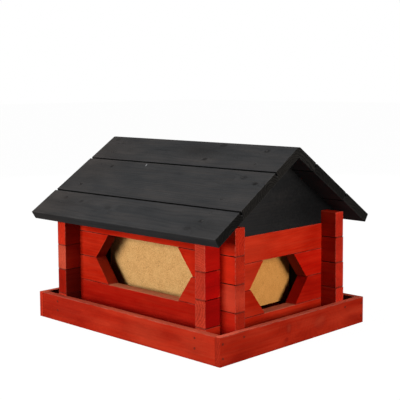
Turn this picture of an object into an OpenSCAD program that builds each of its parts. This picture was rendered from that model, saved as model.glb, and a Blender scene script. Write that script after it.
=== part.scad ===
// Log-cabin bird feeder for a table, stump or ledge.
// Four walls of interlocked planed logs stand in a railed tray. Each wall has a
// hexagonal window, closed from inside by a hardboard panel, and the panels make
// the seed bin. The two long walls start half a log above the tray floor, which
// leaves the slots that the seed runs out through. The roof lifts off to fill it.
// Frame: origin on the ground at the centre of the tray, +X along the ridge,
// +Z up. The front long wall faces -Y and the right gable faces +X.

/* [House] */
// Distance between the outer faces of the two gable walls
house_l = 321; // [300:1:340]
// Distance between the outer faces of the two long walls
house_w = 242; // [230:1:260]
// Thickness of a wall log
log_t = 19; // [17:0.5:20]
// Height of a wall log
log_h = 38.2; // [36:0.1:39]
// Rounding of the long edges of a log
log_r = 1; // [0.5:0.1:2.5]
// Width of the flat that a log bears on, along its top and its underside
log_flat = 6; // [4:0.5:9]
// How far a log's top and underside fall away from that flat to its edges
log_fall = 0.15; // [0.1:0.05:0.8]
// How far the long logs stand out past the gable walls
proj_x = 27.5; // [20:0.5:32]
// How far the gable logs stand out past the long walls
proj_y = 29; // [20:0.5:32]
// Height of the top of the long walls
long_top = 177.5; // [176:0.5:180]
// How much lower the back long wall sits than the front one
back_drop = 1.8; // [0:0.1:3]
// How far the ends of the back wall's top log stop short of the inner face of the tray's short rails; its lower logs reach further
back_short = 1.5; // [0:0.5:3]
// Height of the top of the gable walls
gable_top = 157; // [156:0.5:159]

/* [Windows] */
// Left point of the window in a long wall
long_tip_a = -103; // [-106:0.5:-95]
// Right point of the window in a long wall, on its upper log
long_tip_b = 108.5; // [95:0.5:110]
// Right point of the window in a long wall, on its lower log
long_tip_c = 105.5; // [95:0.5:110]
// How far the cuts slope over one log, long wall
long_slope = 30; // [20:0.5:32]
// The same for its lower right log
long_slope_c = 27; // [20:0.5:32]
// Left point of the window in a gable wall, on its upper log
gable_tip_a = -62; // [-65:0.5:-55]
// Left point of the window in a gable wall, on its lower log
gable_tip_b = -59; // [-65:0.5:-55]
// Right point of the window in a gable wall, on its upper log
gable_tip_c = 66; // [55:0.5:71]
// Right point of the window in a gable wall, on its lower log
gable_tip_d = 70; // [55:0.5:71]
// How far the cuts slope over one log, gable wall
gable_slope = 30; // [20:0.5:32]

/* [Tray] */
// Height of the tray's rails
rail_h = 40; // [36:0.5:44]
// Thickness of the tray's long rails
rail_t = 10.5; // [9:0.5:14]
// Thickness of the tray's short rails
rail_end_t = 9; // [8:0.5:14]
// Thickness of the tray's floor board
floor_t = 4.2; // [4:0.1:6]

/* [Seed bin] */
// Depth of the strips that hold the panels off the walls
strip_d = 18; // [14:0.5:20]
// Width of those strips
strip_w = 11; // [9:0.5:11]
// Thickness of the hardboard panels
panel_t = 4; // [3:0.5:4]
// Height of the lower edge of the panels, which the seed runs out under
panel_low = 40.3; // [35:0.1:45]
// Height of the top of the panels
panel_top = 172; // [160:1:175]

/* [Roof] */
// Height of the line where the two slopes meet
ridge_z = 280.4; // [276:0.2:282]
// Pitch of the front slope, in degrees
pitch_front = 33.1; // [32:0.1:34]
// Pitch of the back slope, in degrees
pitch_back = 33.8; // [32:0.1:34.5]
// Length of a slope, ridge to eave
slope_l = 203.2; // [198:0.2:206]
// Length of the roof along the ridge
roof_l = 397; // [380:1:410]
// Thickness of the roof boards
board_t = 13.6; // [11:0.2:14]
// Chamfer along each board joint
vee = 0.3; // [0.2:0.1:2]
// Width of the rebate below that chamfer, on each board
rebate_w = 1.3; // [0.5:0.1:1.5]
// Depth of the rebate, from the board's upper face
rebate_d = 6; // [4:0.5:8]
// How much further down the front slope its joints and its eave lie at the left end than at the right
front_skew = 1.6; // [0:0.1:3]
// First joint on the front slope, from the ridge
front_joint_1 = 61; // [50:0.5:63]
// Second joint on the front slope, from the ridge
front_joint_2 = 146; // [138:0.5:150]
// First joint on the back slope, from the ridge
back_joint_1 = 48; // [42:0.5:60]
// Second joint on the back slope, from the ridge
back_joint_2 = 135; // [128:0.5:146]
// Thickness of the two gable boards under the roof
gable_t = 18; // [15:0.5:18]
// Play between a gable board and the top logs that it is notched over
gable_play = 0.4; // [0.3:0.1:1]
// How far a gable board reaches out on each side of the ridge
gable_reach = 148.5; // [146:0.5:149]

/* [Nails] */
// Diameter of a nail's head
nail_head_d = 3.4; // [2.5:0.1:4]
// Diameter of a nail's shank
nail_d = 1.7; // [1.2:0.1:2]
// How far a nail's head stands above the wood
nail_proud = 0.3; // [0.2:0.1:0.5]

/* [Hidden] */

red = [0.72, 0.13, 0.06];
black = [0.19, 0.19, 0.20];
tan_board = [0.80, 0.60, 0.36];
ply = [0.76, 0.58, 0.38];
steel = [0.30, 0.28, 0.26];
eps = 0.01;

hl = house_l / 2;
hw = house_w / 2;
in_x = hl + proj_x;               // inside of the tray, along X
in_y = hw + proj_y;               // inside of the tray, along Y
tray_l = 2 * (in_x + rail_end_t);
tray_w = 2 * (in_y + rail_t);

// How far the front and the back courses sit above the gable courses, and the
// depths of the notches where they cross: over_cut where the top of a gable log
// meets the bottom of a long log, under_cut where the bottom of one meets the top
step = [long_top - gable_top, long_top - back_drop - gable_top];
over_cut = [(log_h - step[0]) / 2, (log_h - step[1]) / 2];
under_cut = [step[0] / 2, step[1] / 2];

// Section of a log: its four corners rounded in three steps, its top and
// underside a little crowned, so that the courses show a fine open joint
function corner(cx, cy, r, a0) = [for (i = [0:3]) [cx + r * cos(a0 + 30 * i), cy + r * sin(a0 + 30 * i)]];
function log_section(w, h, r) = concat(
  corner(w - r, h - log_fall - r, r, 0), [[(w + log_flat) / 2, h], [(w - log_flat) / 2, h]],
  corner(r, h - log_fall - r, r, 90), corner(r, log_fall + r, r, 180),
  [[(w - log_flat) / 2, 0], [(w + log_flat) / 2, 0]], corner(w - r, log_fall + r, r, 270));

// One log of a wall that runs along X with its outer face at y = -face.
// xa, xb: its ends. zb: its underside. cross: outer half width of the walls it
// crosses. up, down: the depth of the notches in its top and underside, at its
// left and at its right crossing.
module log(xa, xb, zb, face, cross, up, down) {
  difference() {
    translate([xa, -face, zb]) rotate([90, 0, 90])
      linear_extrude(height = xb - xa) polygon(log_section(log_t, log_h, log_r));
    for (s = [-1, 1]) {
      x0 = s > 0 ? cross - log_t : -cross;
      d = down[s > 0 ? 1 : 0];
      u = up[s > 0 ? 1 : 0];
      if (d > 0) translate([x0, -face - 1, zb - 1]) cube([log_t, log_t + 2, 1 + d]);
      if (u > 0) translate([x0, -face - 1, zb + log_h - u]) cube([log_t, log_t + 2, 1 + u]);
    }
  }
}

// What a window's sloping side takes off a log. xl, xh: where the cut meets the
// log's underside and its top. side 1 takes off all that lies to the right.
module slope_cut(xl, xh, zb, face, side) {
  m = (xh - xl) / log_h;
  far = 400 * side;
  translate([0, -face + log_t + 1, 0]) rotate([90, 0, 0]) linear_extrude(height = log_t + 2)
    polygon(side > 0
      ? [[xl - m, zb - 1], [far, zb - 1], [far, zb + log_h + 1], [xh + m, zb + log_h + 1]]
      : [[xl - m, zb - 1], [xh + m, zb + log_h + 1], [far, zb + log_h + 1], [far, zb - 1]]);
}

// A course of a wall, 1 to 4 from the top, built as a wall that faces -Y. Courses
// 2 and 3 are in two pieces, either side of the window, whose cut reaches from
// tip, where the two courses meet, over slope.
module whole_log(course, face, cross, reach, top, up, down)
  log(-reach, reach, top - course * log_h, face, cross, up, down);
module left_piece(course, face, cross, reach, top, tip, slope, up, down) {
  zb = top - course * log_h;
  difference() {
    log(-reach, tip + slope + 1, zb, face, cross, up, down);
    slope_cut(course == 2 ? tip : tip + slope, course == 2 ? tip + slope : tip, zb, face, 1);
  }
}
module right_piece(course, face, cross, reach, top, tip, slope, up, down) {
  zb = top - course * log_h;
  difference() {
    log(tip - slope - 1, reach, zb, face, cross, up, down);
    slope_cut(course == 2 ? tip : tip - slope, course == 2 ? tip - slope : tip, zb, face, -1);
  }
}

// Logs of a long wall, w 0 for the front, 1 for the back. part a: left, b: right
none = [0, 0];
function both(v) = [v, v];
function long_reach(w, course) = in_x - w * back_short * (4 - course) / 3;
module long_log(course, part, w) color(red) {
  top = long_top - w * back_drop;
  up = course == 1 ? none : both(under_cut[w]);
  down = both(over_cut[w]);
  if (part == "whole") whole_log(course, hw, hl, long_reach(w, course), top, up, down);
  if (part == "a") left_piece(course, hw, hl, long_reach(w, course), top, long_tip_a, long_slope, up, down);
  if (part == "b") right_piece(course, hw, hl, long_reach(w, course), top,
    course == 2 ? long_tip_b : long_tip_c, course == 2 ? long_slope : long_slope_c, up, down);
}

// Logs of a gable wall, w 0 for the right, 1 for the left. Seen from outside, the
// right wall crosses the front wall at its left end, the left wall at its right
function crossing(v, w) = w == 0 ? v : [v[1], v[0]];
module gable_log(course, part, w) color(red) {
  up = crossing(over_cut, w);
  down = course == 4 ? none : crossing(under_cut, w);
  if (part == "whole") whole_log(course, hl, hw, in_y, gable_top, up, down);
  if (part == "a") left_piece(course, hl, hw, in_y, gable_top,
    course == 2 ? gable_tip_a : gable_tip_b, gable_slope, up, down);
  if (part == "b") right_piece(course, hl, hw, in_y, gable_top,
    course == 2 ? gable_tip_c : gable_tip_d, gable_slope, up, down);
}

// Front wall as drawn, back wall turned half round, gable walls turned a quarter
module turn(a) rotate([0, 0, a]) children();

module front_log_top() long_log(1, "whole", 0);
module front_log_upper_left() long_log(2, "a", 0);
module front_log_upper_right() long_log(2, "b", 0);
module front_log_lower_left() long_log(3, "a", 0);
module front_log_lower_right() long_log(3, "b", 0);
module front_log_bottom() long_log(4, "whole", 0);
module back_log_top() turn(180) long_log(1, "whole", 1);
module back_log_upper_left() turn(180) long_log(2, "b", 1);
module back_log_upper_right() turn(180) long_log(2, "a", 1);
module back_log_lower_left() turn(180) long_log(3, "b", 1);
module back_log_lower_right() turn(180) long_log(3, "a", 1);
module back_log_bottom() turn(180) long_log(4, "whole", 1);
module right_log_top() turn(90) gable_log(1, "whole", 0);
module right_log_upper_front() turn(90) gable_log(2, "a", 0);
module right_log_upper_back() turn(90) gable_log(2, "b", 0);
module right_log_lower_front() turn(90) gable_log(3, "a", 0);
module right_log_lower_back() turn(90) gable_log(3, "b", 0);
module right_log_bottom() turn(90) gable_log(4, "whole", 0);
module left_log_top() turn(270) gable_log(1, "whole", 1);
module left_log_upper_front() turn(270) gable_log(2, "b", 1);
module left_log_upper_back() turn(270) gable_log(2, "a", 1);
module left_log_lower_front() turn(270) gable_log(3, "b", 1);
module left_log_lower_back() turn(270) gable_log(3, "a", 1);
module left_log_bottom() turn(270) gable_log(4, "whole", 1);

// ---- Seed bin: upright strips on the inner faces of the walls, panels on the strips
bin_x = hl - log_t - strip_d;     // outer face of the gable panels
bin_y = hw - log_t - strip_d;     // outer face of the long panels
function slot_top(sy) = long_top - (sy > 0 ? back_drop : 0) - 4 * log_h; // underside of a long wall
gable_strip_y = bin_y - 2;        // outer side of a gable strip

module long_strip(sx, sy) color(ply)
  translate([sx > 0 ? bin_x - strip_w : -bin_x, sy > 0 ? bin_y : -bin_y - strip_d, slot_top(sy)])
    cube([strip_w, strip_d, panel_top - slot_top(sy)]);
module gable_strip(sx, sy) color(ply)
  translate([sx > 0 ? bin_x : -bin_x - strip_d, sy > 0 ? gable_strip_y - strip_w : -gable_strip_y, floor_t])
    cube([strip_d, strip_w, gable_top - floor_t]);
module long_panel(sy) color(tan_board)
  translate([-bin_x, sy > 0 ? bin_y - panel_t : -bin_y, panel_low])
    cube([2 * bin_x, panel_t, panel_top - panel_low]);
module gable_panel(sx) color(tan_board)
  translate([sx > 0 ? bin_x - panel_t : -bin_x, -bin_y + panel_t, panel_low])
    cube([panel_t, 2 * (bin_y - panel_t), panel_top - panel_low]);

module front_strip_left() long_strip(-1, -1);
module front_strip_right() long_strip(1, -1);
module back_strip_left() long_strip(-1, 1);
module back_strip_right() long_strip(1, 1);
module left_strip_front() gable_strip(-1, -1);
module left_strip_back() gable_strip(-1, 1);
module right_strip_front() gable_strip(1, -1);
module right_strip_back() gable_strip(1, 1);
module front_panel() long_panel(-1);
module back_panel() long_panel(1);
module left_panel() gable_panel(-1);
module right_panel() gable_panel(1);

// ---- Tray: the short rails lap over the ends of the long rails
// A rail with its long edges just taken off, running along X from the origin
module rail(l, t, r = 0.4) rotate([90, 0, 90]) linear_extrude(height = l)
  polygon([[r, 0], [t - r, 0], [t, r], [t, rail_h - r], [t - r, rail_h],
           [r, rail_h], [0, rail_h - r], [0, r]]);

module tray_floor() color(ply) translate([-in_x, -in_y, 0]) cube([2 * in_x, 2 * in_y, floor_t]);
module tray_rail_front() color(red) translate([-in_x, -in_y - rail_t, 0]) rail(2 * in_x, rail_t);
module tray_rail_back() color(red) translate([-in_x, in_y, 0]) rail(2 * in_x, rail_t);
module tray_rail_right() color(red) translate([in_x + rail_end_t, -tray_w / 2, 0]) turn(90) rail(tray_w, rail_end_t);
module tray_rail_left() color(red) translate([-in_x, -tray_w / 2, 0]) turn(90) rail(tray_w, rail_end_t);

// A nail driven along -Z, its head's underside at z = 0
module nail(l) {
  translate([0, 0, -l]) cylinder(d = nail_d, h = l + eps, $fn = 24);
  translate([0, 0, -0.5]) cylinder(d = nail_head_d, h = 0.5 + nail_proud, $fn = 24);
}

// Through the rails into the ends of the lowest logs, and at the tray's corners
nail_x = hl - log_t / 2 - 0.5;
nail_y = hw - log_t / 2 + 2;
corner_y = in_y + rail_t / 2;
module tray_nails() color(steel) {
  for (sx = [-1, 1], sy = [-1, 1]) {
    for (z = [17, 31]) translate([sx * nail_x, sy * tray_w / 2, z]) rotate([sy * -90, 0, 0]) nail(32);
    translate([sx * tray_l / 2, sy * nail_y, 32]) rotate([0, sx * 90, 0]) nail(32);
    for (z = [11, 30.5]) translate([sx * tray_l / 2, sy * corner_y, z]) rotate([0, sx * 90, 0]) nail(32);
  }
}

// ---- Roof. A point of the roof's section: s down the front slope from the
// ridge, n below its upper face. flip mirrors it to the back slope.
function tilt(flip) = flip ? pitch_back : pitch_front;
function on_roof(s, n, flip) = let(a = tilt(flip), y = -s * cos(a) + n * sin(a))
  [flip ? -y : y, ridge_z - s * sin(a) - n * cos(a)];
// Flat on the ridge, where the boards' upper edges are cut back
crest = 3;
// Cut along the under side of a joint
vee_low = 1.2;

// Moves what it holds down the front slope, by skew at x = -hr and nothing at hr
module skewed(skew, flip) {
  a = tilt(flip);
  k = skew / (2 * hr);
  y = flip ? 1 : -1;
  multmatrix([[1, 0, 0, 0],
              [-k * y * cos(a), 1, 0, k * hr * y * cos(a)],
              [k * sin(a), 0, 1, -k * hr * sin(a)],
              [0, 0, 0, 1]]) children();
}
module along(xa, xb, pts, flip)
  translate([xa, 0, 0]) rotate([90, 0, 90]) linear_extrude(height = xb - xa)
    polygon([for (p = pts) on_roof(p[0], p[1], flip)]);

// A board's edge at a joint, s down the slope: first of the upper board, then of
// the one below it
function lower_edge(s) = [[s - rebate_w - vee, 0], [s - rebate_w, vee], [s - rebate_w, rebate_d],
                          [s, rebate_d], [s, board_t - vee_low], [s - vee_low, board_t]];
function upper_edge(s) = [[s + vee_low, board_t], [s, board_t - vee_low], [s, rebate_d],
                          [s + rebate_w, rebate_d], [s + rebate_w, vee], [s + rebate_w + vee, 0]];

// A board from s0 to s1 down the slope, from xa to xb along the ridge
module roof_board(s0, s1, xa, xb, flip, skew = 0) {
  mitre = board_t * tan(tilt(flip));
  if (s0 == 0) difference() {
    // its upper edge follows the ridge, its lower edge the joint
    far = s1 + skew + 5;
    translate([xa, 0, 0]) rotate([90, 0, 90]) linear_extrude(height = xb - xa)
      polygon(concat([for (p = [[crest, 0], [far, 0], [far, board_t], [mitre, board_t]]) on_roof(p[0], p[1], flip)],
                     [[0, ridge_z - crest * sin(tilt(flip))]]));
    skewed(skew, flip) along(xa - 1, xb + 1,
      concat([[s1 - rebate_w - vee - 1, -1]], lower_edge(s1), [[s1 - vee_low - 1, board_t + 1], [far + 5, board_t + 1], [far + 5, -1]]), flip);
  }
  else skewed(skew, flip) along(xa, xb,
    concat(upper_edge(s0),
      s1 == slope_l ? [[s1 - 0.6, 0], [s1, 0.6], [s1, board_t - 0.6], [s1 - 0.6, board_t]] : lower_edge(s1)), flip);
}

hr = roof_l / 2;
module roof_board_front_top() color(black) roof_board(0, front_joint_1, -hr + 2.3, hr - 0.4, false, front_skew);
module roof_board_front_middle() color(black) roof_board(front_joint_1, front_joint_2, -hr + 1.3, hr, false, front_skew);
module roof_board_front_bottom() color(black) roof_board(front_joint_2, slope_l, -hr, hr - 0.7, false, front_skew);
module roof_board_back_top() color(black) roof_board(0, back_joint_1, -hr + 0.9, hr - 0.3, true);
module roof_board_back_middle() color(black) roof_board(back_joint_1, back_joint_2, -hr + 1.3, hr - 0.1, true);
module roof_board_back_bottom() color(black) roof_board(back_joint_2, slope_l, -hr + 0.7, hr, true);

// Gable boards: they stand on the top gable logs, notched over the top long logs,
// so the roof sits in place by its own weight and lifts straight off
gable_in = 0.5;                   // how far they sit behind the wall's outer face
notch_in = hw - log_t - gable_play;
notch_out = hw + gable_play;
notch_top = long_top + gable_play;         // over the front wall; the back one is lower
notch_back = notch_top - back_drop;
function under_roof(y, flip) = ridge_z - y * tan(tilt(flip)) - board_t / cos(tilt(flip));
module gable_board(sx) color(black)
  translate([sx > 0 ? hl - gable_in - gable_t : -hl + gable_in, 0, 0])
    rotate([90, 0, 90]) linear_extrude(height = gable_t)
      polygon([[-notch_in, gable_top], [notch_in, gable_top], [notch_in, notch_back],
               [notch_out, notch_back], [notch_out, gable_top], [gable_reach, gable_top],
               [gable_reach, under_roof(gable_reach, true)], [0, under_roof(0, true)],
               [-gable_reach, under_roof(gable_reach, false)], [-gable_reach, gable_top],
               [-notch_out, gable_top], [-notch_out, notch_top], [-notch_in, notch_top]]);
module gable_board_left() gable_board(-1);
module gable_board_right() gable_board(1);

// Nails through the roof boards into the gable boards, two to a board and gable.
// Each is [distance down the slope, length]: short ones stand over a notch.
nails_front_right = [[15, 30], [46, 30], [77, 30], [125, 30], [154, 18], [172, 26]];
nails_front_left = [[19, 30], [44, 30], [75, 30], [127, 30], [160, 20], [175, 24]];
nails_back_right = [[13, 30], [38, 30], [64, 30], [121, 30], [153, 18], [173, 26]];
nails_back_left = [[14, 30], [40, 30], [60, 30], [119, 30], [156, 18], [171, 26]];
module nail_row(list, x, flip) for (n = list) let(p = on_roof(n[0], 0, flip))
  translate([x, p[0], p[1]]) rotate([flip ? -pitch_back : pitch_front, 0, 0]) nail(n[1]);
module roof_nails() color(steel) {
  nail_row(nails_front_right, hl - 10.5, false);
  nail_row(nails_front_left, -hl + 3.8, false);
  nail_row(nails_back_right, hl - 5.5, true);
  nail_row(nails_back_left, -hl + 9, true);
}

tray_floor();
tray_rail_front();
tray_rail_back();
tray_rail_left();
tray_rail_right();
tray_nails();
front_log_top();
front_log_upper_left();
front_log_upper_right();
front_log_lower_left();
front_log_lower_right();
front_log_bottom();
back_log_top();
back_log_upper_left();
back_log_upper_right();
back_log_lower_left();
back_log_lower_right();
back_log_bottom();
left_log_top();
left_log_upper_front();
left_log_upper_back();
left_log_lower_front();
left_log_lower_back();
left_log_bottom();
right_log_top();
right_log_upper_front();
right_log_upper_back();
right_log_lower_front();
right_log_lower_back();
right_log_bottom();
front_strip_left();
front_strip_right();
back_strip_left();
back_strip_right();
left_strip_front();
left_strip_back();
right_strip_front();
right_strip_back();
front_panel();
back_panel();
left_panel();
right_panel();
gable_board_left();
gable_board_right();
roof_board_front_top();
roof_board_front_middle();
roof_board_front_bottom();
roof_board_back_top();
roof_board_back_middle();
roof_board_back_bottom();
roof_nails();
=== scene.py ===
import math
import random

import bpy
from mathutils import Matrix, Vector


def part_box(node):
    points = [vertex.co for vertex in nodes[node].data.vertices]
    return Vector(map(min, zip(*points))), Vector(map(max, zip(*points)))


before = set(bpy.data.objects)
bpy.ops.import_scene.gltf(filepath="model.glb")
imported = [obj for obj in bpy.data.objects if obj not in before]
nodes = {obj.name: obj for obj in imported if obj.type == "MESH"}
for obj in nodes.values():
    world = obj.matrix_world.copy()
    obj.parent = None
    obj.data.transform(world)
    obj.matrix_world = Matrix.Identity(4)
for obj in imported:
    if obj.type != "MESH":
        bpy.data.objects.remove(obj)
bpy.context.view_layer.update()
scene = bpy.context.scene
scene.view_settings.view_transform = "Standard"
scene.view_settings.look = "None"
scene.view_settings.exposure = 0.0
scene.view_settings.gamma = 1.0

# ------------------------------------------------------------------ camera
# Angles and offsets of the photograph's view, in degrees and millimetres
YAW, PITCH, ROLL = 44.594, 5.476, 0.278
TX, TY, TZ = -1.718, 233.410, 1463.069
ya, pi_, ro = (math.radians(a) for a in (YAW, PITCH, ROLL))
fwd = Vector((-math.sin(ya) * math.cos(pi_), math.cos(ya) * math.cos(pi_), -math.sin(pi_)))
right0 = Vector((math.cos(ya), math.sin(ya), 0))
down0 = fwd.cross(right0)
if down0.z > 0:
    down0.negate()
right = right0 * math.cos(ro) + down0 * math.sin(ro)
down = down0 * math.cos(ro) - right0 * math.sin(ro)
eye = -(right * TX + down * TY + fwd * TZ) / 1000
cam_data = bpy.data.cameras.new("camera")
cam_data.sensor_width = 36
cam_data.lens = 83.94
cam_data.shift_y = -0.075
cam_data.clip_start, cam_data.clip_end = 0.05, 60
cam = bpy.data.objects.new("camera", cam_data)
cam.matrix_world = Matrix((
    (right.x, -down.x, -fwd.x, eye.x),
    (right.y, -down.y, -fwd.y, eye.y),
    (right.z, -down.z, -fwd.z, eye.z),
    (0, 0, 0, 1)))
scene.collection.objects.link(cam)
scene.camera = cam


# ------------------------------------------------------------------ light
def area_light(name, azimuth, elevation, distance, w, h, watts, colour=(1, 1, 1), target=(0, 0, 0.12)):
    """A softbox. Azimuth 0 is in front of the long wall, 90 in front of the right gable."""
    a, e = math.radians(azimuth), math.radians(elevation)
    back = Vector((math.sin(a) * math.cos(e), -math.cos(a) * math.cos(e), math.sin(e)))
    d = bpy.data.lights.new(name, "AREA")
    d.shape, d.size, d.size_y, d.energy, d.color = "RECTANGLE", w, h, watts, colour
    o = bpy.data.objects.new(name, d)
    o.location = Vector(target) + back * distance
    o.rotation_mode = "QUATERNION"
    o.rotation_quaternion = (-back).to_track_quat("-Z", "Y")
    scene.collection.objects.link(o)
    return o


area_light("front softbox", -8, 12, 2.2, 0.85, 0.85, 45)
area_light("side softbox", 84, 13, 2.2, 0.65, 0.9, 41)
area_light("top softbox", -20, 68, 2.2, 1.6, 1.6, 25)
back = area_light("back softbox", 225, 12, 2.2, 0.85, 0.85, 26)
back.visible_glossy = False
bounce = area_light("floor bounce", 0, 90, 0, 2.4, 2.4, 2.5, target=(0, 0, 0.0012))
bounce.rotation_quaternion = Vector((0, 0, 1)).to_track_quat("-Z", "Y")
bounce.visible_camera = False

world = bpy.data.worlds.new("world")
scene.world = world
world.use_nodes = True
bg = world.node_tree.nodes["Background"]
bg.inputs["Color"].default_value = (1, 1, 1, 1)
bg.inputs["Strength"].default_value = 1.0
world.cycles_visibility.diffuse = False
world.cycles_visibility.glossy = False


# ------------------------------------------------------------------ node helpers
class E:
    """A number or vector in a node tree, with arithmetic."""

    def __init__(self, nt, s):
        self.nt, self.s = nt, s

    def op(self, kind, *a, clamp=False):
        n = self.nt.nodes.new("ShaderNodeMath")
        n.operation = kind
        n.use_clamp = clamp
        for i, v in enumerate((self,) + a):
            if isinstance(v, E):
                self.nt.links.new(v.s, n.inputs[i])
            else:
                n.inputs[i].default_value = v
        return E(self.nt, n.outputs[0])

    def __add__(self, o): return self.op("ADD", o)
    def __radd__(self, o): return self.op("ADD", o)
    def __sub__(self, o): return self.op("SUBTRACT", o)
    def __rsub__(self, o): return self.op("MULTIPLY_ADD", -1.0, o)
    def __mul__(self, o): return self.op("MULTIPLY", o)
    def __rmul__(self, o): return self.op("MULTIPLY", o)
    def __truediv__(self, o): return self.op("DIVIDE", o)
    def min(self, o): return self.op("MINIMUM", o)
    def max(self, o): return self.op("MAXIMUM", o)
    def abs(self): return self.op("ABSOLUTE")
    def fract(self): return self.op("FRACT")
    def sqrt(self): return self.op("SQRT")
    def exp(self): return self.op("EXPONENT")
    def clamp(self): return self.op("ADD", 0.0, clamp=True)

    def step(self, a, b):
        """0 below a, 1 above b, smooth between."""
        n = self.nt.nodes.new("ShaderNodeMapRange")
        n.interpolation_type = "SMOOTHSTEP"
        n.clamp = True
        self.nt.links.new(self.s, n.inputs["Value"])
        for key, v in (("From Min", a), ("From Max", b)):
            if isinstance(v, E):
                self.nt.links.new(v.s, n.inputs[key])
            else:
                n.inputs[key].default_value = v
        return E(self.nt, n.outputs["Result"])

    def parts(self):
        n = self.nt.nodes.new("ShaderNodeSeparateXYZ")
        self.nt.links.new(self.s, n.inputs[0])
        return [E(self.nt, o) for o in n.outputs]

    def vec(self, kind, *a, out=0):
        n = self.nt.nodes.new("ShaderNodeVectorMath")
        n.operation = kind
        for i, v in enumerate((self,) + a):
            if kind == "SCALE" and i == 1:
                i = 3
            if isinstance(v, E):
                self.nt.links.new(v.s, n.inputs[i])
            else:
                n.inputs[i].default_value = v
        return E(self.nt, n.outputs[out])


def combine(nt, x, y, z):
    n = nt.nodes.new("ShaderNodeCombineXYZ")
    for i, v in enumerate((x, y, z)):
        if isinstance(v, E):
            nt.links.new(v.s, n.inputs[i])
        else:
            n.inputs[i].default_value = v
    return E(nt, n.outputs[0])


def noise(nt, vec, scale=1.0, detail=2.0, rough=0.5):
    n = nt.nodes.new("ShaderNodeTexNoise")
    n.noise_dimensions = "3D"
    nt.links.new(vec.s, n.inputs["Vector"])
    n.inputs["Scale"].default_value = scale
    n.inputs["Detail"].default_value = detail
    n.inputs["Roughness"].default_value = rough
    return E(nt, n.outputs[0])


def mix(nt, fac, a, b, blend="MIX"):
    n = nt.nodes.new("ShaderNodeMix")
    n.data_type = "RGBA"
    n.blend_type = blend
    n.clamp_factor = True
    for key, v in (("Factor_Float", fac), ("A_Color", a), ("B_Color", b)):
        i = next(s for s in n.inputs if s.identifier == key)
        if isinstance(v, E):
            nt.links.new(v.s, i)
        else:
            i.default_value = (*v, 1) if isinstance(v, tuple) and len(v) == 3 else v
    return E(nt, next(s for s in n.outputs if s.identifier == "Result_Color"))


def group(name, ins, outs):
    """A new node group. ins and outs are (name, kind) pairs, kind F, V or C."""
    kinds = {"F": "NodeSocketFloat", "V": "NodeSocketVector", "C": "NodeSocketColor"}
    g = bpy.data.node_groups.new(name, "ShaderNodeTree")
    for n, k in ins:
        g.interface.new_socket(n, in_out="INPUT", socket_type=kinds[k])
    for n, k in outs:
        g.interface.new_socket(n, in_out="OUTPUT", socket_type=kinds[k])
    gi = g.nodes.new("NodeGroupInput")
    go = g.nodes.new("NodeGroupOutput")
    return g, {n: E(g, gi.outputs[n]) for n, _ in ins}, go


def use(nt, g, **values):
    """Puts group g in the tree. Returns its outputs by name."""
    n = nt.nodes.new("ShaderNodeGroup")
    n.node_tree = g
    for k, v in values.items():
        if isinstance(v, E):
            nt.links.new(v.s, n.inputs[k])
        else:
            n.inputs[k].default_value = (*v, 1) if n.inputs[k].type == "RGBA" and len(v) == 3 else v
    return {o.name: E(nt, o) for o in n.outputs}


# The piece's own axes: X along the grain, Y up its broad face, Z out of it, in
# millimetres. End: crosscut faces. Cut: the sloping cuts of the windows. Back:
# the face turned away, which is given painted shade. Up, Down: faces turned along Y.
# Inner: how far the inner face reaches along X from the wall's middle. MidX: the
# piece's own middle, from there. BackOut: how far the free ends share in Back and its painted shade.
# Free: the ends beyond the crossings.
G_FRAME, i, o = group("piece axes", [("EX", "V"), ("EY", "V"), ("EZ", "V"), ("O", "V"), ("Inner", "F"), ("MidX", "F"), ("BackOut", "F")],
                      [("P", "V"), ("End", "F"), ("Cut", "F"), ("Back", "F"), ("Up", "F"), ("Down", "F"), ("Free", "F")])
tc = G_FRAME.nodes.new("ShaderNodeTexCoord")
p = E(G_FRAME, tc.outputs["Object"]).vec("SCALE", 1000.0).vec("SUBTRACT", i["O"])
nrm = E(G_FRAME, tc.outputs["Normal"])
pp = combine(G_FRAME, *(p.vec("DOT_PRODUCT", i[k], out=1) for k in ("EX", "EY", "EZ")))
nx = nrm.vec("DOT_PRODUCT", i["EX"], out=1).abs()
ny = nrm.vec("DOT_PRODUCT", i["EY"], out=1)
nz = nrm.vec("DOT_PRODUCT", i["EZ"], out=1)
end = nx.step(0.86, 0.95)
out_by = (pp.parts()[0] + i["MidX"]).abs() - i["Inner"]
for k, v in (("P", pp), ("End", end), ("Cut", nx.step(0.6, 0.75) * (1.0 - end)), ("Back", (nz * -1.0).step(0.5, 0.8) * (1.0 - out_by.step(-0.5, 0.5) * (1.0 - i["BackOut"]))),
             ("Up", ny.step(0.3, 0.75)), ("Down", (ny * -1.0).step(0.3, 0.75)), ("Free", out_by.step(18.5, 19.5))):
    G_FRAME.links.new(v.s, o.inputs[k])

# A knot: pushes the rings aside and has rings of its own
G_KNOT, i, o = group("knot", [("P", "V"), ("C", "V"), ("A", "V"), ("R", "F"), ("Long", "F"), ("Push", "F"), ("Dark", "F"), ("DR", "F"), ("K", "F"), ("Ring", "F")],
                     [("DR", "F"), ("K", "F"), ("Ring", "F")])
d = i["P"].vec("SUBTRACT", i["C"])
along = d.vec("DOT_PRODUCT", i["A"], out=1)
d = d.vec("SUBTRACT", i["A"].vec("SCALE", along))
dx, dy, dz = d.parts()
wob = (noise(G_KNOT, d, 0.16, 2) - 0.5) * 3.0
dist = ((dx / i["Long"]) * (dx / i["Long"]) + dy * dy + dz * dz).sqrt() + wob
q = dist / i["R"]
G_KNOT.links.new((i["DR"] + i["Push"] * (q * q * -0.16).exp()).s, o.inputs["DR"])
k = 1.0 - q.step(0.75, 1.08)
G_KNOT.links.new(i["K"].max(k * i["Dark"]).s, o.inputs["K"])
G_KNOT.links.new(i["Ring"].max(k * (dist / 1.25).fract().step(0.3, 0.9) * 0.7).max(((q - 1.05).abs() * -6.0).exp() * i["Dark"]).s, o.inputs["Ring"])
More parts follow.
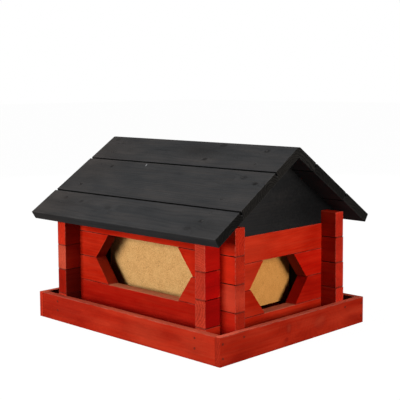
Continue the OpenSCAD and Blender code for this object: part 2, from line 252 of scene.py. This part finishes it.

# A soft oval mark on the face: a smudge, a patch of painted shade, a nick or a rubbed place
G_SPOT, i, o = group("mark", [("P", "V"), ("C", "V"), ("U", "V"), ("V", "V"), ("A", "F"), ("B", "F"), ("Soft", "F"), ("Amount", "F"), ("M", "F")], [("M", "F")])
d = i["P"].vec("SUBTRACT", i["C"])
u = d.vec("DOT_PRODUCT", i["U"], out=1) / i["A"]
v = d.vec("DOT_PRODUCT", i["V"], out=1) / i["B"]
e = (u * u + v * v).sqrt() + (noise(G_SPOT, d, 0.3, 3, 0.6) - 0.5) * 0.7
G_SPOT.links.new(i["M"].max((1.0 - e.step(1.0 - i["Soft"], 1.0)) * i["Amount"]).s, o.inputs["M"])

# Solid wood: growth rings round a pith, fibres, blotches, distance from the nearest arris
G_WOOD, i, o = group("wood", [("P", "V"), ("Pith", "V"), ("Lean", "V"), ("Spacing", "F"), ("Wobble", "F"), ("DR", "F"), ("Seed", "V"), ("Lo", "V"), ("Hi", "V")],
                     [("Late", "F"), ("Fibre", "F"), ("Fine", "F"), ("Blotch", "F"), ("Streak", "F"), ("Arris", "F")])
P = i["P"]
x, y, z = P.parts()
_, py, pz = i["Pith"].parts()
_, ly, lz = i["Lean"].parts()
y1 = y - py - ly * x
z1 = z - pz - lz * x
r = (y1 * y1 + z1 * z1).sqrt()
S = P.vec("ADD", i["Seed"])
slow = S.vec("MULTIPLY", (0.006, 0.045, 0.045))
mid = S.vec("MULTIPLY", (0.03, 0.33, 0.33))
r = r + (noise(G_WOOD, slow, 1, 2) - 0.5) * i["Wobble"] + (noise(G_WOOD, mid, 1, 2) - 0.5) * 0.9 + i["DR"]
ph = r / i["Spacing"]
ph = ph + (noise(G_WOOD, combine(G_WOOD, ph * 0.37, 0, 0).vec("ADD", i["Seed"]), 1, 1) - 0.5) * 1.6
f = ph.fract()
late = f.step(0.3, 0.9) * (1.0 - f.step(0.92, 1.0))
fibre = noise(G_WOOD, S.vec("MULTIPLY", (0.022, 1.5, 1.5)), 1, 3, 0.6)
fine = noise(G_WOOD, S.vec("MULTIPLY", (0.12, 4.5, 4.5)), 1, 2, 0.5)
blotch = noise(G_WOOD, S.vec("MULTIPLY", (0.014, 0.045, 0.045)), 1, 3, 0.55)
streak = noise(G_WOOD, S.vec("MULTIPLY", (0.007, 0.4, 0.4)), 1, 2, 0.5)
lo, hi = P.vec("SUBTRACT", i["Lo"]), i["Hi"].vec("SUBTRACT", P)
a, b, c = lo.vec("MINIMUM", hi).parts()
median = a.min(b).max(a.max(b).min(c))
for k, v in (("Late", late), ("Fibre", fibre), ("Fine", fine), ("Blotch", blotch), ("Streak", streak), ("Arris", median)):
    G_WOOD.links.new(v.s, o.inputs[k])

# Stained wood. Early, LateC: stain over soft and hard wood; Thin: where it is
# thin; Deep: where it has gathered, and the colour of painted shade that smudges lay on; EndC: over end grain; Worn:
# where rubbed
G_STAIN, i, o = group("stain", [(n, "F") for n in ("Late", "Fibre", "Fine", "Blotch", "Streak", "Arris", "End", "Cut", "Back", "Groove", "Top", "K", "Ring", "Smudge", "Rub", "Nick",
                                                   "Grain", "Patchy", "Rings", "Wear", "Bright", "CutToneShade", "BackShade", "Rough")]
                      + [("P", "V"), ("Seed", "V")] + [(n, "C") for n in ("Early", "LateC", "Thin", "Deep", "EndC", "EndDeep", "Worn", "TopSheenDustC", "KnotC", "NickC", "CutC")],
                      [("Color", "C"), ("Rough", "F"), ("Height", "F")])
g = G_STAIN
S = i["P"].vec("ADD", i["Seed"])
col = mix(g, i["Late"] * i["Grain"], i["Early"], i["LateC"])
thin = (i["Streak"] * 0.55 + i["Blotch"] * 0.65 - 0.5).max(0.0) * 3.2 * i["Patchy"]
col = mix(g, thin.clamp(), col, i["Thin"])
col = mix(g, i["Fibre"].step(0.52, 0.78) * 0.3, col, i["Deep"])
col = mix(g, i["K"] * 0.8, col, i["KnotC"])
col = mix(g, i["Ring"] * 0.45, col, i["Deep"])
pits = noise(g, S.vec("MULTIPLY", (0.4, 1.0, 1.0)), 0.55, 4, 0.7)
saw = noise(g, S.vec("MULTIPLY", (0.3, 0.16, 2.0)), 1, 2, 0.6)
endc = mix(g, (i["Late"] * i["Rings"]).clamp(), i["EndC"], i["EndDeep"])
endc = mix(g, pits.step(0.5, 0.68) * 0.75, endc, i["EndDeep"])
col = mix(g, i["End"], col, endc)
col = mix(g, i["Cut"] * 0.75, col, i["CutC"])
# up-facing faces paler and pinker: painted sheen of the overhead light, with some dust
col = mix(g, (i["Top"] * 0.9).clamp(), col, i["TopSheenDustC"])
worn = noise(g, S.vec("MULTIPLY", (0.05, 0.3, 0.3)), 1, 3, 0.6)
near = (1.0 - i["Arris"].step(0.15, 1.7)) * worn.step(0.36, 0.6) * i["Wear"]
col = mix(g, near.clamp(), col, i["Worn"])
col = mix(g, i["Rub"].clamp(), col, i["Thin"])
# smudges: stain gathered, and in places painted shade
col = mix(g, (i["Smudge"] * 0.8 * (1.0 - i["End"])).clamp(), col, i["Deep"])
value = 1.0 + (i["Fibre"] - 0.5) * 0.45 + (i["Blotch"] - 0.5) * 0.75 + (i["Fine"] - 0.5) * 0.14 + (saw - 0.5) * i["End"] * 0.5
# Groove: painted shade in the joints, with stain gathered there
# painted shade: the turned-away faces, inside the walls and on the rails, are darkened
# the window cuts: darker for their end grain, plus painted shade on the upper cuts and painted light (a value below 0)
# on the lower ones
value = value * i["Bright"] * (1.0 - i["Cut"] * i["CutToneShade"]) * (1.0 - i["Back"] * i["BackShade"]) * (1.0 - i["Groove"])
col = mix(g, 1.0, col, combine(g, value, value, value), "MULTIPLY")
col = mix(g, i["Nick"].clamp(), col, i["NickC"])
g.links.new(col.s, o.inputs["Color"])
rr = i["Rough"] + (i["Fibre"] - 0.5) * 0.2 + i["End"] * 0.15 + (i["Blotch"] - 0.5) * 0.12 + near * 0.1
g.links.new(rr.clamp().s, o.inputs["Rough"])
h = i["Fibre"] * 0.14 + i["Fine"] * 0.05 + i["Late"] * 0.05 + i["End"] * pits * 0.35 - i["Ring"] * 0.08 - i["Nick"] * 0.5
g.links.new(h.s, o.inputs["Height"])

# RED and RAIL darken the turned-away faces, inside the walls and on the rails' inner sides, by 0.9: painted shade
RED = dict(Early=(0.47, 0.0115, 0.0012), LateC=(0.37, 0.0075, 0.0009), Thin=(0.50, 0.034, 0.011), Deep=(0.20, 0.002, 0.001), EndC=(0.42, 0.018, 0.006), EndDeep=(0.27, 0.009, 0.003),
           Worn=(0.50, 0.12, 0.08), TopSheenDustC=(0.58, 0.14, 0.080), KnotC=(0.34, 0.024, 0.010), NickC=(0.55, 0.20, 0.14), Grain=0.5, Patchy=0.6, Rings=0.4, Rough=0.68, CutToneShade=0.1, BackShade=0.9)
RAIL = dict(RED, TopSheenDustC=(0.46, 0.078, 0.040), Early=(0.42, 0.0155, 0.0035), LateC=(0.34, 0.0105, 0.0024), Thin=(0.45, 0.038, 0.014), EndC=(0.44, 0.026, 0.009), EndDeep=(0.20, 0.006, 0.003))
END_TONE = {
    "front": dict(EndC=(0.42, 0.019, 0.0060), EndDeep=(0.22, 0.006, 0.002)),
    "right": dict(EndC=(0.50, 0.040, 0.0185), EndDeep=(0.24, 0.011, 0.004)),
    "back": dict(EndC=(0.49, 0.021, 0.0080), EndDeep=(0.25, 0.008, 0.003)),
    "left": dict(EndC=(0.46, 0.024, 0.008), EndDeep=(0.30, 0.011, 0.004))}
BLACK = dict(Early=(0.0332, 0.0338, 0.0352), LateC=(0.0240, 0.0247, 0.0262), Thin=(0.050, 0.0415, 0.0365), Deep=(0.010, 0.010, 0.010), EndC=(0.0095, 0.0084, 0.0072), EndDeep=(0.0008, 0.0007, 0.0006),
             Worn=(0.055, 0.053, 0.050), TopSheenDustC=(0.03, 0.03, 0.03), KnotC=(0.012, 0.011, 0.011), NickC=(0.22, 0.22, 0.225), Grain=0.6, Patchy=0.4, Rings=0.85, Rough=0.78, CutToneShade=0.0, BackShade=0.75)


def principled(nt, color, rough, height, specular=0.5, bump=1.0):
    bsdf = nt.nodes.new("ShaderNodeBsdfPrincipled")
    out = nt.nodes.new("ShaderNodeOutputMaterial")
    nt.links.new(color.s, bsdf.inputs["Base Color"])
    nt.links.new(rough.s, bsdf.inputs["Roughness"])
    bsdf.inputs["Specular IOR Level"].default_value = specular
    bn = nt.nodes.new("ShaderNodeBump")
    bn.inputs["Distance"].default_value = 0.001
    bn.inputs["Strength"].default_value = bump
    nt.links.new(height.s, bn.inputs["Height"])
    nt.links.new(bn.outputs["Normal"], bsdf.inputs["Normal"])
    nt.links.new(bsdf.outputs["BSDF"], out.inputs["Surface"])
    return bsdf


def new_material(name):
    m = bpy.data.materials.new(name)
    m.use_nodes = True
    m.node_tree.nodes.clear()
    return m, m.node_tree


def stained(node, stain, ex, ey, ez, origin, lo, hi, knots=(), smudges_and_shade=(), rubs=(), nicks=(), groove_up=0.0, groove_down=0.0, opening=None, top=0.0,
            wear=0.6, bright=1.0, spacing=None, pith=None, lean=None, seed="", wobble=7.0, specular=0.04, colours=None, inner=0.0, mid_x=0.0, cut=None, cut_tone=None, end_groove=1.0, back_out=0.0):
    """Stained wood for one CAD node.

    knots: (x, y, radius, elongation, push, darkness) on the broad face.
    smudges, rubs, nicks: (x, y, half length, half width, angle, softness, amount); the smudge marks are partly painted
    shade.
    opening: the stretch of the piece, along X, whose upper or lower face is free.
    """
    rnd = random.Random(node + str(seed))
    m, nt = new_material(node)
    fr = use(nt, G_FRAME, EX=ex, EY=ey, EZ=ez, O=origin, Inner=inner, MidX=mid_x, BackOut=back_out)
    P = fr["P"]
    sd = tuple(rnd.uniform(-900, 900) for _ in range(3))
    turn, dist = rnd.uniform(-0.5, 0.5) - math.pi / 2 * rnd.choice((1, 1, 1, 0.6)), rnd.uniform(22, 60)
    pith = pith or (0, math.cos(turn) * dist, math.sin(turn) * dist)
    slant = (0, rnd.uniform(-0.02, 0.02), rnd.uniform(-0.05, 0.05))
    lean = lean or slant
    gap = rnd.uniform(2.4, 4.2)
    spacing = spacing or gap
    dr = kk = ring = 0.0
    for kx, ky, kr, kl, push, dark in knots:
        out = use(nt, G_KNOT, P=P, C=(kx, ky, 0), A=(0.0, 0.0, 1.0), R=kr, Long=kl, Push=push, Dark=dark, DR=dr, K=kk, Ring=ring)
        dr, kk, ring = out["DR"], out["K"], out["Ring"]
    marks = []
    for spots in (smudges_and_shade, rubs, nicks):
        total = 0.0
        for sx, sy, a, b, angle, soft, amount in spots:
            t = math.radians(angle)
            total = use(nt, G_SPOT, P=P, C=(sx, sy, 0), U=(math.cos(t), math.sin(t), 0), V=(-math.sin(t), math.cos(t), 0), A=a, B=b, Soft=soft, Amount=amount, M=total)["M"]
        marks.append(total)
    # the faces turned up and down at the joints are painted darker: painted shade, with stain gathered there
    groove = (fr["Up"] * groove_up + fr["Down"] * groove_down) * (fr["Free"] * (end_groove - 1.0) + 1.0)
    # top: how much the up-facing faces take that painted sheen
    if opening:
        x = P.parts()[0]
        free = x.step(opening[0] - 0.5, opening[0] + 0.5) * (1.0 - x.step(opening[1] - 0.5, opening[1] + 0.5))
        groove = groove * (1.0 - free)
        top_sheen_mask = fr["Up"] * free * top
    else:
        top_sheen_mask = fr["Up"] * top
    # on the end faces, a painted dark line of shade along each joint
    if end_groove > 1:
        y = P.parts()[1]
        line = y.step(hi[1] - 1.9, hi[1] - 0.5) * (0.45 if groove_up else 0.0) + (y * -1.0).step(-lo[1] - 1.9, -lo[1] - 0.5) * (0.45 if groove_down else 0.0)
        groove = groove.max(line * fr["End"])
    w = use(nt, G_WOOD, P=P, Pith=pith, Lean=lean, Spacing=spacing, Wobble=wobble, DR=dr, Seed=sd, Lo=lo, Hi=hi)
    tone = dict(stain)
    tone.update(colours or {})
    # cut: above 0 painted shade on the upper window cuts, below 0 painted light on the lower ones
    if cut is not None:
        tone["CutToneShade"] = cut
    tone["CutC"] = cut_tone or tone["Early"]
    s = use(nt, G_STAIN, P=P, Seed=sd, End=fr["End"], Cut=fr["Cut"], Back=fr["Back"], Groove=groove.clamp(), Top=top_sheen_mask, K=kk, Ring=ring,
            Smudge=marks[0], Rub=marks[1], Nick=marks[2], Wear=wear, Bright=bright, **tone,
            **{k: w[k] for k in ("Late", "Fibre", "Fine", "Blotch", "Streak", "Arris")})
    principled(nt, s["Color"], s["Rough"], s["Height"], specular)
    return m


# ------------------------------------------------------------------ pieces
def soften(o, width, segments=2, angle=35):
    """Rounds the sharp arrises of a CAD node with modifiers."""
    me = o.data
    for name in ("custom_normal", "sharp_edge", "sharp_face"):
        a = me.attributes.get(name)
        if a:
            me.attributes.remove(a)
    me.polygons.foreach_set("use_smooth", [True] * len(me.polygons))
    w = o.modifiers.new("weld", "WELD")
    w.merge_threshold = 1e-5
    b = o.modifiers.new("bevel", "BEVEL")
    b.width, b.segments, b.limit_method, b.angle_limit = width / 1000, segments, "ANGLE", math.radians(angle)
    b.use_clamp_overlap = True
    n = o.modifiers.new("normals", "WEIGHTED_NORMAL")
    n.weight, n.keep_sharp = 80, True


X, Y, Z = Vector((1, 0, 0)), Vector((0, 1, 0)), Vector((0, 0, 1))


def set_material(o, m):
    o.data.materials.clear()
    o.data.materials.append(m)


def mm(v):
    return Vector(v) * 1000


# Tone and marks of single pieces, in the piece's own millimetres from its middle
# Where the window's sloping cut meets the middle of a left piece of the front wall: the
# piece reaches from -188 to -73, the cut from -103 to -73
CUT_X = (-103 - 73) / 2 - (-188 - 73) / 2
DEEP = dict(Deep=(0.32, 0.0015, 0.0008))
DEEP_RED = dict(Early=(0.47, 0.0055, 0.0006), LateC=(0.37, 0.0035, 0.0005), Thin=(0.50, 0.018, 0.005))
# The pale arrises of the window's sloping cuts, on the two left pieces of the front wall
CUT_UL = [(CUT_X, 0, 24, 1.5, math.degrees(math.atan2(38.2, 30)), 0.6, 1.0)]
CUT_LL = [(CUT_X, 0, 24, 1.5, -math.degrees(math.atan2(38.2, 30)), 0.6, 1.0)]
LOOK = {
    # front wall
    "front_log_top": dict(bright=1.04),
    "front_log_upper_left": dict(bright=0.98, cut=0.35, rubs=CUT_UL),
    "front_log_lower_left": dict(bright=0.93, rubs=CUT_LL, cut=-0.4, cut_tone=(0.40, 0.036, 0.017)),
    # front_log_bottom: its sill's paler top is painted sheen
    # front_log_bottom: its smudge darkens it towards the tray: painted shade from the rail
    "front_log_bottom": dict(bright=0.75, colours=dict(TopSheenDustC=(0.70, 0.23, 0.115), Early=(0.47, 0.0062, 0.0006), Thin=(0.50, 0.024, 0.008), Deep=(0.30, 0.0015, 0.0008)), smudges_and_shade=[(0, -20, 400, 27, 0, 1.0, 0.9)]),
    "front_log_upper_right": dict(bright=0.98, rubs=[(-34, 0, 24, 14, 80, 0.8, 0.55), (43, 0, 13, 34, 0, 0.5, 0.8)], colours=dict(Thin=(0.545, 0.018, 0.004))),
    "front_log_lower_right": dict(bright=0.91, rubs=[(45, 0, 20, 34, 0, 0.7, 0.8)], colours=dict(Thin=(0.52, 0.046, 0.020))),
    # right gable
    "right_log_top": dict(bright=0.99, lean=(0, 0.10, 0.02), spacing=3.2, pith=(0, -44, -12), colours=DEEP, smudges_and_shade=[(-135, 0, 22, 34, 0, 0.3, 1.1), (95, 0, 70, 50, 0, 1.0, 0.4)],
                          rubs=[(-60, 0, 90, 50, 0, 1.0, 0.6)]),
    "right_log_upper_front": dict(bright=0.98, colours=dict(DEEP, EndC=(0.43, 0.030, 0.014)), rubs=[(25, 0, 60, 40, 0, 1.0, 0.6)], smudges_and_shade=[(-47, 0, 22, 34, 0, 0.3, 1.25)]),
    "right_log_upper_back": dict(bright=0.99, cut=0.28, cut_tone=(0.50, 0.055, 0.021), colours=DEEP_RED),
    "right_log_lower_front": dict(bright=0.76, colours=dict(DEEP, EndC=(0.64, 0.050, 0.022)), smudges_and_shade=[(-47, 0, 22, 34, 0, 0.3, 1.4)]),
    "right_log_lower_back": dict(bright=0.74, cut=-0.12, colours=DEEP_RED),
    "right_log_bottom": dict(bright=0.84),
    # left gable, whose log ends show; the turned-away sides of those ends get part of the painted shade
    "left_log_top": dict(bright=1.0, back_out=0.60, colours=dict(EndC=(0.55, 0.026, 0.0080))),
    "left_log_upper_front": dict(bright=1.03, back_out=0.62, colours=dict(EndC=(0.50, 0.068, 0.033), EndDeep=(0.29, 0.024, 0.010))),
    "left_log_lower_front": dict(bright=0.72, back_out=0.78, colours=dict(EndC=(0.44, 0.013, 0.003), EndDeep=(0.26, 0.005, 0.002))),
    "left_log_bottom": dict(back_out=0.95),
    # tray
    "tray_rail_front": dict(bright=0.93, smudges_and_shade=[(-130, 0, 130, 40, 0, 1.0, 0.58)], rubs=[(50, 0, 70, 30, 0, 1.0, 0.6), (150, 0, 60, 30, 0, 1.0, 0.5)]),
    # tray_rail_right: its top is paler still, painted light
    "tray_rail_right": dict(bright=0.835, spacing=3.4, wobble=11.0, knots=[(-19.5, 5.5, 7, 0.8, 14.0, 0.62), (52, 1, 9, 1.6, 22.0, 0.5), (-27, -13, 4, 0.9, 9.0, 0.3)], rubs=[(-19.5, 5.5, 5, 8, 0, 0.9, 0.45), (52, 3, 20, 9, 20, 0.9, 0.6)],
                            smudges_and_shade=[(-24, -10, 6, 5, 0, 0.8, 0.5), (-125, -14, 50, 9, 0, 1.0, 0.5), (135, -8, 30, 10, 0, 1.0, 0.5)], colours=dict(TopSheenDustC=(0.85, 0.15, 0.085))),
}
# Marks on the roof's front slope: x along the ridge, s down from the ridge
ROOF_F = dict(
    knots=[(181, 88, 3.2, 1.2, 3, 1.0), (151, 16, 3.6, 1.3, 3, 0.9), (50, 44, 3.2, 1.3, 3, 0.9), (148, 173, 3.0, 1.3, 3, 0.8), (153, 77, 4.5, 1.2, 3, 0.35), (-127, 79, 2.8, 1.0, 2, 1.0), (-154, 129, 2.6, 1.2, 2, 0.9), (-155, 163, 3.0, 1.3, 2, 0.8), (-178, 11, 3.4, 1.3, 2, 0.7), (-113, 167, 3.2, 1.2, 2, 0.7), (-45, 173, 4, 1.5, 3, 0.35), (136, 190, 4, 1.6, 3, 0.5), (61, 9, 4, 1.6, 3, 0.8)],
    rubs=[(-198, 60, 150, 120, 0, 1.0, 0.42), (-198, 175, 150, 120, 0, 1.0, 0.42)],
    smudges_and_shade=[(37, 33, 15, 4.5, -43, 0.8, 0.55), (-127, 80.5, 3.0, 2.6, 0, 0.6, 1.1), (181, 89, 3.0, 2.4, 0, 0.6, 1.1), (149, 126, 3.2, 2.2, 20, 0.6, 0.9), (25, 25, 75, 26, 0, 1.0, 0.75), (163, 184, 60, 26, 0, 1.0, 0.45), (-154, 102, 60, 40, 0, 1.0, 0.2), (-160, 178, 60, 40, 0, 1.0, 0.2)],
    nicks=[(-55.5, 69, 3.8, 1.5, 104, 0.6, 1.0)])
# how pale the stain is over the boards' ends
VERGE = {"front_top": 2.1, "front_middle": 1.65, "front_bottom": 0.8, "back_top": 2.0, "back_middle": 1.0, "back_bottom": 1.55}
TILT = {"front": math.radians(33.1), "back": math.radians(33.8)}
RIDGE = 280.4
BOARDS = {"front_top": (0, 61), "front_middle": (61, 146), "front_bottom": (146, 203.2), "back_top": (0, 48), "back_middle": (48, 135), "back_bottom": (135, 203.2)}

for name, o in nodes.items():
    lo, hi = (mm(v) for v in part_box(name))
    centre = (lo + hi) / 2
    if "_log_" in name or name.startswith("tray_rail"):
        side = name.split("_")[2] if name.startswith("tray_rail") else name.split("_")[0]
        ex, ez = {"front": (X, -Y), "right": (Y, X), "back": (-X, Y), "left": (-Y, -X)}[side]
        ey = ez.cross(ex)
        half = (hi - lo) / 2
        h = Vector((abs(half.dot(ex)), abs(half.dot(ey)), abs(half.dot(ez))))
        look = dict(LOOK.get(name, {}))
        if "_log_" in name:
            long = side in ("front", "back")
            low = name.endswith("_bottom")
            look.setdefault("wear", 0.4)
            # the open joints are painted darker, for their shade and the stain gathered there, less and less from the
            # top down
            joint = (0.0, 0.5, 0.5, 0.25) if long else (0.0, 0.3, 0.35, 0.25)
            course = ("top", "upper", "lower", "bottom").index(name.split("_")[2])
            look["groove_up"] = joint[course]
            look["groove_down"] = 0.0 if low else joint[course + 1]
            if name.endswith("_top") or low:
                look["opening"] = (-73, 78.5) if long else ((-29, 40) if low else (-32, 36))
            look["inner"] = 141.5 if long else 102.0
            look["colours"] = dict(END_TONE[side], **look.get("colours", {}))
            look["end_groove"] = 2.2
            look["mid_x"] = centre.dot(ex)
            # the back wall's free ends get a third of that painted shade on their turned-away faces
            if side == "back":
                look["back_out"] = 0.32
            # the bottom logs' sills take the painted sheen
            look["top"] = 1.0 if name.endswith("_bottom") else 0.0
            m = stained(name, RED, ex, ey, ez, centre, -h, h, **look)
        else:
            look.setdefault("wear", 0.9)
            # only the upper arrises are rubbed
            far = Vector((60, 0, 0))
            # the rails count as inside along their whole length, so all their inner faces get the painted shade
            look["inner"] = 1000.0
            # the rails' tops take the painted sheen
            m = stained(name, RAIL, ex, ey, ez, centre, -h - far - Vector((0, 60, 0)), h + far, top=1.0, **look)
        set_material(o, m)
        soften(o, 0.4)
    elif name.startswith("roof_board"):
        side = name.split("_")[2]
        sign = -1 if side == "front" else 1
        tilt = TILT[side]
        # ey runs up the slope, ez out of it
        ex = X if side == "front" else -X
        ey = Vector((0, -sign * math.cos(tilt), math.sin(tilt)))
        ez = Vector((0, sign * math.sin(tilt), math.cos(tilt)))
        s0, s1 = BOARDS[name[11:]]
        mid_s = (s0 + s1) / 2
        origin = Vector((0, sign * mid_s * math.cos(tilt), RIDGE - mid_s * math.sin(tilt)))
        lo_l = Vector((lo.x if side == "front" else -hi.x, -(s1 - s0) / 2, -13.6))
        hi_l = Vector((hi.x if side == "front" else -lo.x, (s1 - s0) / 2, 0))
        marks = {}
        if side == "front":
            for kind, list_ in ROOF_F.items():
                marks[kind] = [(t[0], mid_s - t[1]) + tuple(t[2:]) for t in list_ if s0 - 12 < t[1] < s1 + 12]
        last = name.endswith("bottom")
        # the slots between the boards are painted near black: their shade, with stain gathered there
        m = stained(name, BLACK, ex, ey, ez, origin, lo_l, hi_l, wear=0.35, wobble=12.0, specular=0.12, bright=0.98,
                    groove_up=0.0 if name.endswith("top") else 0.9, groove_down=0.25 if last else 0.9,
                    colours=dict(EndC=tuple(v * VERGE.get(name[11:], 1.0) for v in BLACK["EndC"])), **marks)
        set_material(o, m)
        soften(o, 0.35)
    elif name.startswith("gable_board"):
        ez = X if name.endswith("right") else -X
        # the smudges darken each gable board over a large part below the far slope and at the apex: painted shadow of
        # the roof's overhang
        m = stained(name, BLACK, Y, ez.cross(Y), ez, centre, (lo - centre), (hi - centre), wear=0.0, bright=0.47, specular=0.10, colours=dict(Early=(0.0350, 0.0332, 0.0324), Deep=(0.0040, 0.0038, 0.0040)),
                    smudges_and_shade=[(115 if name.endswith("right") else -115, -10, 185, 150, 0, 1.0, 1.25), (8, 66, 80, 52, 0, 1.0, 1.3)])
        set_material(o, m)
        soften(o, 0.4)
    else:
        m, nt = new_material(name)
        tc = nt.nodes.new("ShaderNodeTexCoord")
        P = E(nt, tc.outputs["Object"]).vec("SCALE", 1000.0)
        if name.endswith("_panel"):
            # hardboard: pressed fibres, dark and light flecks
            a = noise(nt, P, 0.9, 3, 0.7)
            b = noise(nt, P.vec("ADD", (300, 70, 20)), 0.45, 2, 0.6)
            c = noise(nt, P.vec("ADD", (30, 500, 90)), 0.07, 3, 0.6)
            k = (0.90, 0.69, 0.42) if name == "right_panel" else (0.98, 0.96, 0.88)
            tone = lambda r, g, b: (r * k[0], g * k[1], b * k[2])
            col = mix(nt, a.step(0.38, 0.62), tone(0.74, 0.44, 0.18), tone(0.53, 0.285, 0.10))
            col = mix(nt, b.step(0.60, 0.72) * 0.7, col, tone(0.32, 0.16, 0.06))
            col = mix(nt, c.step(0.4, 0.7) * 0.35, col, tone(0.76, 0.47, 0.20))
            principled(nt, col, a * 0.15 + 0.78, a * 0.12, 0.1)
        elif name == "tray_nails":
            # stained over with the wood
            a = noise(nt, P, 1.2, 3, 0.6)
            col = mix(nt, a.step(0.35, 0.65), (0.100, 0.012, 0.006), (0.210, 0.020, 0.010))
            principled(nt, col, a * 0.3 + 0.5, a * 0.1, 0.05)
        elif name == "roof_nails":
            a = noise(nt, P, 1.2, 3, 0.6)
            col = mix(nt, a, (0.012, 0.011, 0.011), (0.035, 0.033, 0.032))
            principled(nt, col, a * 0.3 + 0.4, a * 0.1, 0.3)
        # the strips that hold the panels are coloured near black: painted shade for the gap behind the walls
        elif "_strip_" in name:
            a = noise(nt, P.vec("MULTIPLY", (1.4, 1.4, 0.03)), 1, 3, 0.6)
            col = mix(nt, a, (0.012, 0.010, 0.009), (0.004, 0.003, 0.003))
            principled(nt, col, a * 0.15 + 0.78, a * 0.15, 0.1)
        else:
            a = noise(nt, P.vec("MULTIPLY", (0.03, 1.4, 1.4)), 1, 3, 0.6)
            col = mix(nt, a, (0.50, 0.31, 0.15), (0.36, 0.20, 0.085))
            principled(nt, col, a * 0.15 + 0.78, a * 0.15, 0.1)
        set_material(o, m)

# ------------------------------------------------------------------ floor
me = bpy.data.meshes.new("floor")
R = 12.0
me.from_pydata([(-R, -R, 0), (R, -R, 0), (R, R, 0), (-R, R, 0)], [], [(0, 1, 2, 3)])
floor = bpy.data.objects.new("floor", me)
scene.collection.objects.link(floor)
m, nt = new_material("floor")
bs = nt.nodes.new("ShaderNodeBsdfPrincipled")
bs.inputs["Base Color"].default_value = (0.03, 0.03, 0.03, 1)
bs.inputs["Roughness"].default_value = 1.0
bs.inputs["Specular IOR Level"].default_value = 0.0
bs.inputs["Emission Color"].default_value = (1, 1, 1, 1)
bs.inputs["Emission Strength"].default_value = 0.985
out = nt.nodes.new("ShaderNodeOutputMaterial")
nt.links.new(bs.outputs["BSDF"], out.inputs["Surface"])
me.materials.append(m)
floor.visible_diffuse = False
floor.visible_glossy = False
